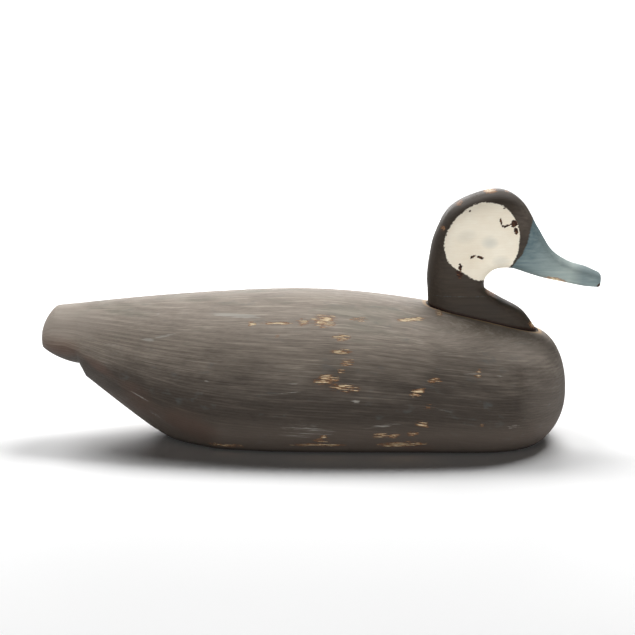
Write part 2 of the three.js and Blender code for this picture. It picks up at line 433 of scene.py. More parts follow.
def store_spots(piece, name, right_marks, left_marks):
    """Keeps how deep each vertex is in the marks on its own side."""
    points = points_of(piece)
    store(piece, name, np.maximum(spots(points, right_marks, -1), spots(points, left_marks, 1)))


# Places on the right side where handling has rubbed the paint through to the wood.
RIGHT_BARE = [
    (1.7, 76.3, 16, 7, 0, 1.0),
    (-10.3, 75.8, 9, 4, 0, 0.7),
    (-25.0, 75.2, 20, 1.5, 0, 1.1),
    (-39.8, 74.6, 5, 2.6, 0, 1.0),
    (21.6, 76.6, 11, 2.4, 0, 0.7),
    (52.4, 75.7, 20, 1.7, 0, 1.2),
    (68.6, 76.8, 3.6, 2.4, 0, 1.2),
    (11.5, 68.6, 11, 4.2, 0, 0.9),
    (-24.3, 69.2, 4, 2.2, 0, 0.7),
    (10.9, 61.5, 14, 3.2, 0, 0.65),
    (14.8, 56.1, 8, 5, 0, 0.65),
    (10.8, 51.1, 4, 4, -40, 0.6),
    (2.7, 47.1, 16, 6.4, 5, 0.95),
    (12.8, 42.4, 20, 6, -5, 0.6),
    (54.2, 40.2, 10, 5, 20, 0.85),
    (63.7, 46.5, 9, 4, 0, 0.55),
    (60.1, 31.6, 5.5, 3, -10, 0.8),
    (56.9, 21.0, 9, 5.5, -10, 0.85),
    (33.4, 14.2, 9.5, 4.2, 5, 0.9),
    (41.4, 13.9, 8, 3.4, 0, 0.8),
    (51.5, 15.1, 7, 3.6, 0, 0.6),
    (45.6, 7.9, 31, 4.2, 3, 0.85),
    (-2.6, 7.2, 36, 2.4, 0, 0.8),
    (-0.1, 10.4, 10, 3.2, 0, 0.75),
    (1.4, 13.0, 5, 2.6, 0, 0.7),
    (-54.4, 4.6, 26, 3.4, 0, 0.5),
    (88.0, 51.1, 2.8, 2.6, 0, 0.9),
    (87.9, 48.5, 2.8, 2.4, 0, 0.8),
    (90.1, 20.8, 2.2, 2.2, 0, 0.7),
]
# Grey scuffs and scratches that have only dulled or cut the paint.
RIGHT_SCUFFS = [
    (19.5, 34.8, 6, 2.6, -10, 0.8),
    (68.8, 29.6, 15, 1.2, -13, 0.55),
    (-8.8, 17.2, 40, 13, 0, 0.42),
    (34.5, 20.2, 24, 2.4, 8, 0.5),
    (-16.0, 44.5, 15, 1.0, 5, 0.6),
    (-19.4, 39.3, 21, 1.0, 5, 0.6),
    (-98.5, 65.0, 9, 2.4, 0, 1.2),
    (-89.5, 67.2, 16, 1.3, 12, 1.1),
    (-49.2, 78.2, 36, 2.4, -1, 1.1),
    (-93.4, 77.3, 2.8, 2, 0, 0.7),
    (-63.7, 44.6, 2.6, 2, 0, 0.7),
    (-103.4, 30.6, 18, 1.5, -28, 0.75),
    (-94.4, 18.2, 16, 3.4, -36, 0.4),
    (80.3, 49.5, 20, 1.3, 0, 0.6),
    (99.6, 48.9, 4.6, 2.4, -60, 0.8),
    (108.5, 19.0, 9, 3, 0, 0.5),
    (-120, 61.0, 14, 1.6, 2, 0.5),
]
# Old red-brown stain low on the rump and along the lower edge of the tail, on both sides.
STAINS = [
    (-75.0, 16.0, 50, 26, -20, 0.9),
    (-104.0, 28.0, 46, 22, -38, 0.8),
    (-161.0, 62.0, 8, 18, -10, 1.0),
    (-152, 58.0, 36, 16, -10, 1.0),
    (-128, 47.0, 34, 10, -35, 0.7),
]
RIGHT_STAINS = STAINS + [
    (56.2, 4.7, 26, 9, 0, 0.8),
    (8.0, 44.0, 40, 12, -5, 0.5),
]
# Smooth pale patches on the tail, the breast and below the neck on both sides, and one on the right
# shoulder. They are partly dust and sun-paled paint and partly painted light, which lifts the tail's side
# and the shadow that the neck casts on the breast.
DUST_AND_FILL_LIGHT = [
    (-160.0, 71.0, 90, 22, 0, 1.0),
    (134.0, 34.0, 46, 56, 0, 0.3),
    (114.0, 62.0, 60, 22, -18, 0.55),
]
RIGHT_DUST_AND_FILL_LIGHT = DUST_AND_FILL_LIGHT + [(74.0, 69.5, 50, 15, -12, 0.55)]


def scattered(total, seed, x_range, z_range, length, height, strength):
    """Marks strewn at random along the side that is out of sight, where wear is of the same kind."""
    draw = np.random.default_rng(seed)
    marks = []
    for _ in range(total):
        size = draw.uniform(0.5, 1)
        marks.append((
            draw.uniform(*x_range),
            draw.uniform(*z_range),
            length * size,
            height * draw.uniform(0.6, 1) * size,
            draw.uniform(-8, 8),
            strength * draw.uniform(0.6, 1),
        ))
    return marks


# For each lot of marks: how many, seed, range of x, range of z, length, height, strength.
left_bare = scattered(9, 31, (-90, 100), (55, 77), 15, 5, 0.9)
left_bare += scattered(8, 32, (-60, 110), (14, 48), 12, 5, 0.8)
left_bare += scattered(5, 33, (-40, 90), (5, 9), 34, 3.6, 0.8)
left_scuffs = scattered(12, 34, (-120, 110), (14, 78), 22, 3, 0.8)
left_stains = STAINS + scattered(4, 35, (-110, 60), (8, 30), 40, 20, 0.9)
left_dust_and_fill_light = DUST_AND_FILL_LIGHT + scattered(4, 36, (-110, 90), (56, 76), 34, 7, 0.7)


SEAM_REACH = 12
SEAM_LIMITS = (-5, 40)


def seam_distance(points):
    """Distance outside the foot of the neck, measured on the seat."""
    offset = points - seat_middle
    along = offset @ seat_run
    power = FOOT_SQUARENESS
    share = (np.abs(along) / seat_half_length) ** power + (np.abs(points[:, 1]) / FOOT_HALF) ** power
    reach = np.hypot(along, points[:, 1])
    distance = reach * (1 - 1 / np.maximum(share, 1e-6) ** (1 / power))
    near_seat = np.abs(offset @ seat_up) < SEAM_REACH
    return np.where(near_seat, np.clip(distance, *SEAM_LIMITS), SEAM_LIMITS[1])


# Old oil paint over the wood: thin, dry and matt. It is dark brown low down and a greenish dusty grey over
# the back.
# That change is partly real sun bleaching and partly painted light: lighter on top, where more light falls,
# and darker on the flanks. Brush strokes and the hard rings under the paint streak it along the grain. A
# pattern's three sizes are its waves along, across and up, in millimetres.
# The finest strokes are drawn 0.8 mm apart, twice the real brush marks, so that they show.
FINE_STROKE = (60, 1.1, 0.8)
PALE_STROKE = (34, 1.6, 1.2)
MOTTLE = (36, 20, 12)
BLOTCH = (11, 8, 5)
FLECK = (6.0, 0.9, 0.45)
GRIT = (2.4, 1.6, 1.2)
BREAST_TURN_X = 66
TOP_STROKES_FROM = 0.55
TOP_STROKES_FULL = 0.95
BLEACH_AND_LIGHT_FROM_Z = 32
BLEACH_AND_LIGHT_FULL_Z = 76
STROKE_SHIFT = 10
MOTTLE_SHIFT = 34
MEAN_SHIFT = (STROKE_SHIFT + MOTTLE_SHIFT) / 2
# Faces that look down count up to this many millimetres lower for the paint, which paints shade on them.
DOWN_FACING_SHADE = 26


def brush_place(points):
    """Places for the brush strokes, which close up towards the tail and run level round the breast."""
    x, y, z = points.T
    station = np.minimum(x, BREAST_TURN_X)
    side = widest_height(station)
    reach = np.where(z > side, back_height(station) - side, side - keel_height(station))
    height = (z - side) / np.maximum(reach, 1)
    on_top = np.clip((height - TOP_STROKES_FROM) / (TOP_STROKES_FULL - TOP_STROKES_FROM), 0, 1)
    across = HALF_WIDTH * y / np.maximum(half_width(station), 1)
    round_breast = np.maximum(x - BREAST_TURN_X, 0) / (BREAST_X - BREAST_TURN_X)
    along = x + round_breast * (HALF_WIDTH - np.abs(y))
    up = (CREST_Z - WIDEST_Z) * height + grain_dip(x)
    return np.stack([along, across * on_top, up], axis=-1)


body_points = points_of(body)
body_grain = body_points.copy()
body_grain[:, 2] += grain_dip(body_points[:, 0])
store_place(body, "grain", body_grain)
store_place(body, "brush", brush_place(body_points))
# Height for the paint, lowered on faces that look down: painted shade under the body's curves.
store(body, "height", body_points[:, 2] + DOWN_FACING_SHADE * np.minimum(normals_of(body)[:, 2], 0))
store(body, "above_floor", body_points[:, 2])
store(body, "rings", ring_count(body_points))
store_spots(body, "bare", RIGHT_BARE, left_bare)
store_spots(body, "scuff", RIGHT_SCUFFS, left_scuffs)
store_spots(body, "stain", RIGHT_STAINS, left_stains)
store_spots(body, "dust_and_fill_light", RIGHT_DUST_AND_FILL_LIGHT, left_dust_and_fill_light)
store(body, "seam", seam_distance(body_points))
shade_smooth(body)


def paint(hex_colour):
    """Linear colour of an sRGB hex value."""
    parts = [int(hex_colour[i : i + 2], 16) / 255 for i in (1, 3, 5)]
    linear = [p / 12.92 if p <= 0.04045 else ((p + 0.055) / 1.055) ** 2.4 for p in parts]
    return (*linear, 1)


def add_node(tree, kind, inputs=(), output=0, **settings):
    """Adds a node and returns one of its outputs. Inputs are values or other nodes' outputs."""
    node = tree.nodes.new("ShaderNode" + kind)
    for name, value in settings.items():
        setattr(node, name, value)
    for key, value in dict(inputs).items():
        if isinstance(value, bpy.types.NodeSocket):
            tree.links.new(value, node.inputs[key])
        else:
            node.inputs[key].default_value = value
    return node.outputs[output] if len(node.outputs) else None


def new_material(name):
    """An empty material, and the function that adds nodes to it."""
    material = bpy.data.materials.new(name)
    material.use_nodes = True
    material.node_tree.nodes.clear()
    return material, functools.partial(add_node, material.node_tree)


def grain_noise(add, size, detail=3, along="grain"):
    """Cloudy pattern that follows the grain; its waves are this many millimetres long, wide and high."""
    place = add("Attribute", output="Vector", attribute_name=along)
    scaled = add("Mapping", {"Vector": place, "Scale": [1 / s for s in size]})
    return add("TexNoise", {"Vector": scaled, "Scale": 1, "Detail": detail, "Roughness": 0.58})


def ragged(add, name, noise, spread, low, high):
    """Where the marks kept under this name show: their edges and middles are broken up by the noise."""
    depth = add("Attribute", output="Fac", attribute_name=name)
    shift = add("Math", {0: noise, 1: spread, 2: -spread / 2}, operation="MULTIPLY_ADD")
    broken = add("Math", {0: depth, 1: shift}, operation="ADD")
    limits = {"From Min": low, "From Max": high}
    shown = add("MapRange", {"Value": broken, **limits}, interpolation_type="SMOOTHSTEP")
    inside = add("MapRange", {"Value": depth, "From Min": 0.02, "From Max": 0.15})
    return add("Math", {0: shown, 1: inside}, operation="MULTIPLY")


DARK_PAINT = paint("#2d2823")
LIGHT_PAINT = paint("#4f4740")
# Pale greenish grey of the back: sun-bleached paint with painted light on it.
BLEACHED_LIT_DARK = paint("#6f655c")
BLEACHED_LIT_LIGHT = paint("#a89d90")
COOL_PAINT = paint("#565d5e")
GREEN_PAINT = paint("#6f7063")
STAINED_PAINT = paint("#5d473d")
DUSTY_AND_LIT_PAINT = paint("#aea398")
LOW_WEAR_AND_LIGHT = paint("#685e56")
RUBBED_WOOD = paint("#936642")
FRESH_WOOD = paint("#dcc8a4")
SCUFFED_PAINT = paint("#a7a39b")
RIM_WOOD_AND_HIGHLIGHT = paint("#c4a683")
# Near-black: the dirt in the crack round the neck, and painted contact shade along the lowest edge.
CRACK_DIRT_AND_SHADE = paint("#170f0b")

# Sockets of a Mix node by number, because several of them share a name.
SHARE = 0
UNDER = 6
OVER = 7
MIXED = 2

painted_body, add = new_material("weathered brown-grey oil paint on cedar")
fine_strokes = grain_noise(add, FINE_STROKE, along="brush")
pale_strokes = grain_noise(add, PALE_STROKE, along="brush")
pale_strokes = add("MapRange", {"Value": pale_strokes, "From Min": 0.54, "From Max": 0.66})
mottle = grain_noise(add, MOTTLE)
blotches = grain_noise(add, BLOTCH)
flecks = grain_noise(add, FLECK, detail=4)
grit = grain_noise(add, GRIT)
rings = add("Attribute", output="Fac", attribute_name="rings")
ring_turn = add("Math", {0: rings, 1: 2 * math.pi}, operation="MULTIPLY")
ring_wave = add("Math", {0: ring_turn}, operation="COSINE")
ring_show = add("MapRange", {"Value": mottle, "From Min": 0.3, "From Max": 0.55})
ring_lines = add("Math", {0: ring_wave, 1: ring_show}, operation="MULTIPLY")

# How light the paint is: how much each pattern adds.
tone = -0.08
for pattern, amount in [
    (pale_strokes, 0.4),
    (fine_strokes, 0.5),
    (blotches, 0.25),
    (flecks, 0.55),
    (ring_lines, 0.09),
]:
    tone = add("Math", {0: pattern, 1: amount, 2: tone}, operation="MULTIPLY_ADD")
tone = add("MapRange", {"Value": tone, "From Min": 0.2, "From Max": 0.95})
fresh_paint = add("Mix", {SHARE: tone, UNDER: DARK_PAINT, OVER: LIGHT_PAINT}, MIXED, data_type="RGBA")
bleached_and_lit = {SHARE: tone, UNDER: BLEACHED_LIT_DARK, OVER: BLEACHED_LIT_LIGHT}
bleached_and_lit_paint = add("Mix", bleached_and_lit, MIXED, data_type="RGBA")

# The paint is paler from one height up, and fully from another. This is partly sun bleaching and partly
# painted light, since the top of the back is lit more than the flanks. Faces that look down count as lower,
# which paints shade on them, and strokes and mottle shift the edge up and down.
height = add("Attribute", output="Fac", attribute_name="height")
shifted = add("Math", {0: fine_strokes, 1: STROKE_SHIFT, 2: height}, operation="MULTIPLY_ADD")
shifted = add("Math", {0: mottle, 1: MOTTLE_SHIFT, 2: shifted}, operation="MULTIPLY_ADD")
bleach_and_light_limits = {"From Min": BLEACH_AND_LIGHT_FROM_Z + MEAN_SHIFT, "From Max": BLEACH_AND_LIGHT_FULL_Z + MEAN_SHIFT}
bleach_and_top_light = add("MapRange", {"Value": shifted, **bleach_and_light_limits}, interpolation_type="SMOOTHSTEP")
cool_here = add("MapRange", {"Value": blotches, "From Min": 0.6, "From Max": 0.75, "To Max": 0.35})
green_here = add("Math", {0: mottle, 1: bleach_and_top_light}, operation="MULTIPLY")
green_here = add("MapRange", {"Value": green_here, "From Min": 0.5, "From Max": 0.64, "To Max": 0.35})
# Lighter low down: partly worn paint and partly painted light that brightens the lowest band.
low_wear_and_light = add("Math", {0: fine_strokes, 1: 12, 2: height}, operation="MULTIPLY_ADD")
low_wear_and_light = add("MapRange", {"Value": low_wear_and_light, "From Min": 24, "From Max": 6, "To Max": 0.65})
stained = ragged(add, "stain", mottle, spread=1.2, low=0.1, high=0.9)
stained = add("Math", {0: stained, 1: 0.45}, operation="MULTIPLY")
# Pale patches: dust, and painted light over the tail's side and the neck's shadow on the breast.
dust_and_fill_light = add("Attribute", output="Fac", attribute_name="dust_and_fill_light")
dust_and_light_share = add("Math", {0: fine_strokes, 1: 0.7, 2: 0.3}, operation="MULTIPLY_ADD")
dust_and_light_share = add("Math", {0: dust_and_light_share, 1: dust_and_fill_light}, operation="MULTIPLY")

scuff_noise = add("Math", {0: flecks, 1: 0.5, 2: fine_strokes}, operation="MULTIPLY_ADD")
scuff_noise = add("Math", {0: scuff_noise, 1: 0.67}, operation="MULTIPLY")
scuffed = ragged(add, "scuff", scuff_noise, spread=3.2, low=0.25, high=0.9)
scuffed = add("Math", {0: scuffed, 1: 0.7}, operation="MULTIPLY")
rubbed = ragged(add, "bare", flecks, spread=5.0, low=0.35, high=0.6)
rubbed_share = add("Math", {0: rubbed, 1: 0.75}, operation="MULTIPLY")
fresh = ragged(add, "bare", flecks, spread=5.0, low=0.8, high=1.05)

# Along the crack round the neck the paint has flaked off the lip, and dirt fills the gap. The pale lip is
# also a painted highlight where the lip catches the light, lifting the shade that the neck casts there. The
# numbers are millimetres from the foot of the neck, and the flecks add up to 3 of them.
seam = add("Attribute", output="Fac", attribute_name="seam")
lip = add("Math", {0: flecks, 1: 3.0, 2: seam}, operation="MULTIPLY_ADD")
lip_near = add("MapRange", {"Value": lip, "From Min": 2.3, "From Max": 2.7})
lip_far = add("MapRange", {"Value": lip, "From Min": 5.4, "From Max": 4.0, "To Max": 0.85})
lip = add("Math", {0: lip_near, 1: lip_far}, operation="MULTIPLY")
crack_dirt = add("MapRange", {"Value": seam, "From Min": 1.4, "From Max": 0.8})
# The lowest few millimetres are painted darker: painted contact shade where the body meets the floor.
above_floor = add("Attribute", output="Fac", attribute_name="above_floor")
painted_contact_shade = add("MapRange", {"Value": above_floor, "From Min": 4.5, "From Max": 0.5, "To Max": 0.85})

# Each layer over the fresh paint, from the lowest up: how much of it shows, and its colour.
colour = fresh_paint
for share, layer in [
    (bleach_and_top_light, bleached_and_lit_paint),
    (cool_here, COOL_PAINT),
    (green_here, GREEN_PAINT),
    (low_wear_and_light, LOW_WEAR_AND_LIGHT),
    (stained, STAINED_PAINT),
    (dust_and_light_share, DUSTY_AND_LIT_PAINT),
    (scuffed, SCUFFED_PAINT),
    (rubbed_share, RUBBED_WOOD),
    (fresh, FRESH_WOOD),
    (lip, RIM_WOOD_AND_HIGHLIGHT),
    (crack_dirt, CRACK_DIRT_AND_SHADE),
    (painted_contact_shade, CRACK_DIRT_AND_SHADE),
]:
    colour = add("Mix", {SHARE: share, UNDER: colour, OVER: layer}, MIXED, data_type="RGBA")

depth = add("Math", {0: ring_lines, 1: 0.15, 2: fine_strokes}, operation="MULTIPLY_ADD")
depth = add("Math", {0: grit, 1: 0.7, 2: depth}, operation="MULTIPLY_ADD")
depth = add("Math", {0: rubbed, 1: -0.9, 2: depth}, operation="MULTIPLY_ADD")
grain = add("Bump", {"Height": depth, "Distance": 0.12 * MM, "Strength": 0.9})
roughness_limits = {"From Min": 0.3, "From Max": 0.7, "To Min": 0.7, "To Max": 0.85}
shader = add("BsdfPrincipled", {
    "Base Color": colour,
    "Roughness": add("MapRange", {"Value": grit, **roughness_limits}),
    "IOR": 1.48,
    "Specular IOR Level": 0.2,
    "Normal": grain,
})
add("OutputMaterial", {"Surface": shader})
body.data.materials.clear()
body.data.materials.append(painted_body)
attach(body, "root")
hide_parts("body")


# Head: neck, head and bill sawn from one board of the same wood, with only its edges rounded, so that its
# cheeks are flat. It stands in the pocket in the back. Each rib runs from the inner line (neck front,
# throat, chin, bill underside) to the outer line (nape, crown, forehead, bill top).
HEAD_RIBS = [
    {"inner": (127.3, 64.0), "outer": (63.2, 79.2), "half": 17.8, "square": 3.2},
    {"inner": (119.1, 74.9), "outer": (62.9, 87.0), "half": 17.4, "square": 3.2},
    {"inner": (107.2, 81.6), "outer": (62.5, 95.5), "half": 17.0, "square": 3.2},
    {"inner": (98.0, 86.8), "outer": (63.7, 106.5), "half": 17.0, "square": 3.2},
    {"inner": (95.8, 91.2), "outer": (66.9, 120.4), "half": 17.6, "square": 3.4},
    {"inner": (96.8, 95.8), "outer": (75.6, 135.9), "half": 18.6, "square": 3.6},
    {"inner": (101.4, 99.9), "outer": (90.6, 144.1), "half": 19.2, "square": 3.6},
    {"inner": (107.0, 101.0), "outer": (106.0, 146.5), "half": 19.0, "square": 3.6},
    {"inner": (112.8, 100.5), "outer": (117.9, 139.9), "half": 17.6, "square": 3.4},
    {"inner": (120.3, 98.0), "outer": (126.9, 125.2), "half": 15.0, "square": 3.2},
    {"inner": (129.5, 95.1), "outer": (135.3, 111.6), "half": 12.6, "square": 3.0},
    {"inner": (142.0, 92.4), "outer": (145.4, 104.5), "half": 11.4, "square": 2.8},
    {"inner": (153.5, 90.0), "outer": (155.8, 101.2), "half": 11.2, "square": 2.6},
    {"inner": (161.8, 89.1), "outer": (162.8, 98.1), "half": 9.6, "square": 2.6},
]
HEAD_RINGS = 250
HEAD_ANGLES = 360
BILL_TIP_RUN = 1.95
BILL_TIP_RINGS = 7
BILL_TIP_SHRINK = 0.62


def along_ribs(values, share):
    """Smooth run through the ribs' values, at shares of the way from the first to the last."""
    values = np.asarray(values, float)
    first = 2 * values[0] - values[1]
    last = 2 * values[-1] - values[-2]
    padded = np.concatenate([[first], values, [last]])
    place = share * (len(values) - 1)
    start = np.minimum(place.astype(int), len(values) - 2)
    part = (place - start)[:, None]
    before, here, there, after = (padded[start + k] for k in range(4))
    leave = (there - before) / 2
    arrive = (after - here) / 2
    cubic = 2 * here - 2 * there + leave + arrive
    square = 3 * there - 3 * here - 2 * leave - arrive
    return here + part * (leave + part * (square + part * cubic))


head_shares = np.linspace(0, 1, HEAD_RINGS)
inner_line = along_ribs([rib["inner"] for rib in HEAD_RIBS], head_shares)
outer_line = along_ribs([rib["outer"] for rib in HEAD_RIBS], head_shares)
rib_sizes = along_ribs([(rib["half"], rib["square"]) for rib in HEAD_RIBS], head_shares)
head_angles = np.linspace(0, 2 * np.pi, HEAD_ANGLES, endpoint=False)
across, up = superellipse(head_angles[None, :], rib_sizes[:, 1:2])
rib_middle = (inner_line + outer_line) / 2
rib_spoke = (outer_line - inner_line) / 2
head_grid = np.stack([
    rib_middle[:, 0:1] + rib_spoke[:, 0:1] * up,
    rib_sizes[:, 0:1] * across,
    rib_middle[:, 1:2] + rib_spoke[:, 1:2] * up,
], axis=-1)

# The tip of the bill is rounded off by smaller and smaller rings.
tip_middle = head_grid[-1].mean(axis=0)
tip_lean = tip_middle - head_grid[-2].mean(axis=0)
tip_lean = tip_lean / np.linalg.norm(tip_lean)
tip_rings = []
for turn in np.linspace(0, np.pi / 2, BILL_TIP_RINGS + 1)[1:]:
    size = 1 - (1 - BILL_TIP_SHRINK) * (1 - math.cos(turn))
    ahead = tip_lean * BILL_TIP_RUN * math.sin(turn)
    tip_rings.append(tip_middle + (head_grid[-1] - tip_middle) * size + ahead)
head_grid = np.concatenate([head_grid, tip_rings])
tip_end = tip_middle + tip_lean * BILL_TIP_RUN

HEAD_RING_SPACING = 1.3
HEAD_PITH_Y = 70
HEAD_PITH_Z = -140
HEAD_RING_WANDER = 1.2
HEAD_RING_SWELL = (50, 20, 20)
HEAD_RELIEF_SHARE = 0.6


def head_ring_count(points):
    """Growth rings in the head's board, which are nearly level."""
    radius = np.hypot(points[..., 1] - HEAD_PITH_Y, points[..., 2] - HEAD_PITH_Z)
    wander = HEAD_RING_WANDER * soft_noise(points, HEAD_RING_SWELL, seed=41)
    return (radius + wander) / HEAD_RING_SPACING


head_cut = HEAD_RELIEF_SHARE * wood_relief(head_grid, head_ring_count(head_grid))
head_grid = head_grid - surface_normals(head_grid) * head_cut[..., None]
head = lofted_piece("carved_head", head_grid, head_grid[0].mean(axis=0), tip_end)

# The cheek patch: how far its edge is from its middle, every 30 degrees round from the bill side.
CHEEK_X = 93.2
CHEEK_Z = 117
CHEEK_REACH = [21.6, 23.3, 25.0, 23.5, 21.2, 20.6, 21.8, 22.2, 20.2, 22.4, 23.5, 21.6]
# The line where the dark cap meets the bill, from the chin up to the forehead, as (height, x).
BILL_LINE = [
    (98, 109.0),
    (101.3, 110.6),
    (106.9, 113.9),
    (110.7, 117.1),
    (116.5, 119.5),
    (124.6, 121.4),
    (131, 123.6),
]
THROAT_Z = 86
# The middle of the pale forehead, and how far it reaches along and up.
FOREHEAD_X = 119
FOREHEAD_Z = 133
FOREHEAD_LENGTH = 9
FOREHEAD_HEIGHT = 14


def cheek_depth(points):
    """Millimetres inside the edge of the cheek patch."""
    run = points[:, 0] - CHEEK_X
    rise = points[:, 2] - CHEEK_Z
    turn = np.arctan2(rise, run)
    reach = np.interp(turn, np.radians(np.arange(0, 360, 30)), CHEEK_REACH, period=2 * np.pi)
    return reach - np.hypot(run, rise)


def bill_depth(points):
    """Millimetres in front of the line between cap and bill."""
    heights, places = zip(*BILL_LINE)
    ahead = points[:, 0] - np.interp(points[:, 2], heights, places)
    return np.where(points[:, 2] > THROAT_Z, ahead, points[:, 2] - THROAT_Z)


def forehead_share(points):
    """How near each point is to the middle of the forehead, where the cap has paled."""
    run = (points[:, 0] - FOREHEAD_X) / FOREHEAD_LENGTH
    rise = (points[:, 2] - FOREHEAD_Z) / FOREHEAD_HEIGHT
    return np.clip(1 - np.hypot(run, rise), 0, 1)


# Chips in the paint that show the dark wood: most in the cheek patch, one at the tip of the bill.
RIGHT_CHIPS = [
    (103.9, 130.0, 1.6, 5.0, 10, 1.0),
    (105.6, 127.0, 3.4, 1.5, -30, 1.0),
    (107.6, 127.6, 4.4, 1.5, 15, 1.0),
    (111.5, 128.6, 5.0, 5.0, 30, 1.0),
    (112.8, 124.4, 3.0, 5.4, 15, 1.0),
    (88.0, 109.4, 6.0, 1.6, 25, 1.0),
    (92.4, 108.8, 5.6, 2.0, -12, 1.0),
    (80.9, 103.0, 3.2, 5.0, -30, 1.0),
    (80.4, 99.0, 4.6, 6.0, 20, 1.0),
    (163.2, 91.0, 4.6, 3.4, 30, 1.0),
    (105.8, 137.4, 1.3, 1.3, 0, 1.0),
    (86.0, 135.8, 1.2, 1.2, 0, 1.0),
]
LEFT_CHIPS = [
    (84.0, 124.0, 5.0, 2.0, 20, 1.0),
    (104.0, 110.0, 4.0, 3.4, -20, 1.0),
    (98.0, 136.0, 2.2, 1.4, 0, 1.0),
]
# Places rubbed through to the wood on both sides: the crown, the bill's lower edge and the neck's front.
HEAD_BARE = [
    (97.6, 146.4, 12, 2.6, 2, 1.0),
    (137.0, 94.2, 17, 4.4, -11, 1.1),
    (124.6, 67.6, 8, 4.6, -30, 0.85),
    (99.5, 86.0, 12, 2.2, -30, 0.6),
]
RIGHT_HEAD_BARE = HEAD_BARE + [
    (108.9, 146.2, 5, 1.8, -10, 0.75),
    (80.7, 139.8, 7, 3.6, 38, 0.5),
    (70.9, 125.2, 3.6, 3.6, 0, 0.6),
]
# Faint smudges on the white.
RIGHT_SMUDGES = [
    (97.7, 117.4, 11, 8, 0, 1.0),
    (84.0, 121.0, 14, 9, 20, 0.5),
    (104.5, 106.5, 12, 8, 0, 0.7),
]

head_points = points_of(head)
store_place(head, "grain", head_points)
store(head, "cheek", cheek_depth(head_points))
store(head, "bill", bill_depth(head_points))
store_spots(head, "chips", RIGHT_CHIPS, LEFT_CHIPS)
store_spots(head, "bare", RIGHT_HEAD_BARE, HEAD_BARE)
store(head, "forehead", forehead_share(head_points))
store_spots(head, "smudge", RIGHT_SMUDGES, [])
store(head, "foot", (head_points - seat_middle) @ seat_up)
store(head, "edge", 1 - np.abs(normals_of(head)[:, 1]))
shade_smooth(head)

# Old oil paints side by side: near-black brown cap and neck, off-white cheeks put on with a dry brush
# that left a toothed edge, and a blue-grey bill. All are matt, and thin at the rounded edges. Strokes are
# drawn about twice as far apart as the real ones, so that they show.
HEAD_STROKE = (22, 1.6, 1.4)
HEAD_FINE_STROKE = (10, 0.9, 0.7)
HEAD_MOTTLE = (16, 14, 12)
HEAD_FLECK = (2.2, 0.8, 0.8)
BRISTLE = (1.6, 1.3, 1.0)
CAP_DARK = paint("#302a25")
CAP_LIGHT = paint("#494037")
CAP_WORN = paint("#483f36")
CAP_PALE = paint("#6c635a")
CHEEK_WHITE = paint("#eee7d6")
CHEEK_CREAM = paint("#e2d6c1")
CHEEK_SMUDGE = paint("#b9b9b0")
BILL_DARK = paint("#50646a")
BILL_LIGHT = paint("#a0aca8")
CHIPPED_WOOD = paint("#2f1b13")
CHIPPED_EDGE = paint("#6f4a2c")
FOOT_DIRT = paint("#2a1a12")

painted_head, add = new_material("three old oil paints on cedar")
strokes = grain_noise(add, HEAD_STROKE)
fine_strokes = grain_noise(add, HEAD_FINE_STROKE)
mottle = grain_noise(add, HEAD_MOTTLE)
flecks = grain_noise(add, HEAD_FLECK, detail=4)
bristles = grain_noise(add, BRISTLE)

# The cap: streaky, browner where its edges are worn, and paler over the forehead.
tone = add("Math", {0: mottle, 1: 0.6, 2: strokes}, operation="MULTIPLY_ADD")
tone = add("MapRange", {"Value": tone, "From Min": 0.3, "From Max": 1.3})
cap = add("Mix", {SHARE: tone, UNDER: CAP_DARK, OVER: CAP_LIGHT}, MIXED, data_type="RGBA")
edge = add("Attribute", output="Fac", attribute_name="edge")
worn = add("Math", {0: mottle, 1: 0.8, 2: edge}, operation="MULTIPLY_ADD")
worn = add("MapRange", {"Value": worn, "From Min": 0.6, "From Max": 1.35, "To Max": 0.7})
cap = add("Mix", {SHARE: worn, UNDER: cap, OVER: CAP_WORN}, MIXED, data_type="RGBA")
forehead = add("Attribute", output="Fac", attribute_name="forehead")
forehead = add("Math", {0: strokes, 1: forehead}, operation="MULTIPLY")
cap = add("Mix", {SHARE: forehead, UNDER: cap, OVER: CAP_PALE}, MIXED, data_type="RGBA")

# The cheek patch: off-white, creamier in places, with faint smudges.
cheek_tone = add("Math", {0: mottle, 1: 1.6, 2: fine_strokes}, operation="MULTIPLY_ADD")
cheek_tone = add("MapRange", {"Value": cheek_tone, "From Min": 0.8, "From Max": 1.9})
cheek = add("Mix", {SHARE: cheek_tone, UNDER: CHEEK_WHITE, OVER: CHEEK_CREAM}, MIXED, data_type="RGBA")
smudge = add("Attribute", output="Fac", attribute_name="smudge")
smudge = add("Math", {0: smudge, 1: 0.5}, operation="MULTIPLY")
cheek = add("Mix", {SHARE: smudge, UNDER: cheek, OVER: CHEEK_SMUDGE}, MIXED, data_type="RGBA")

# The bill: paler along its length up to 36 mm from the cap, and darker again at the tip.
bill_depth_here = add("Attribute", output="Fac", attribute_name="bill")
bill_tone = add("MapRange", {"Value": bill_depth_here, "From Max": 36, "To Min": -0.25, "To Max": 0.6})
tip_tone = add("MapRange", {"Value": bill_depth_here, "From Min": 36, "From Max": 44, "To Max": -0.55})
bill_tone = add("Math", {0: bill_tone, 1: tip_tone}, operation="ADD")
bill_tone = add("Math", {0: strokes, 1: 0.7, 2: bill_tone}, operation="MULTIPLY_ADD")
bill = add("Mix", {SHARE: bill_tone, UNDER: BILL_DARK, OVER: BILL_LIGHT}, MIXED, data_type="RGBA")

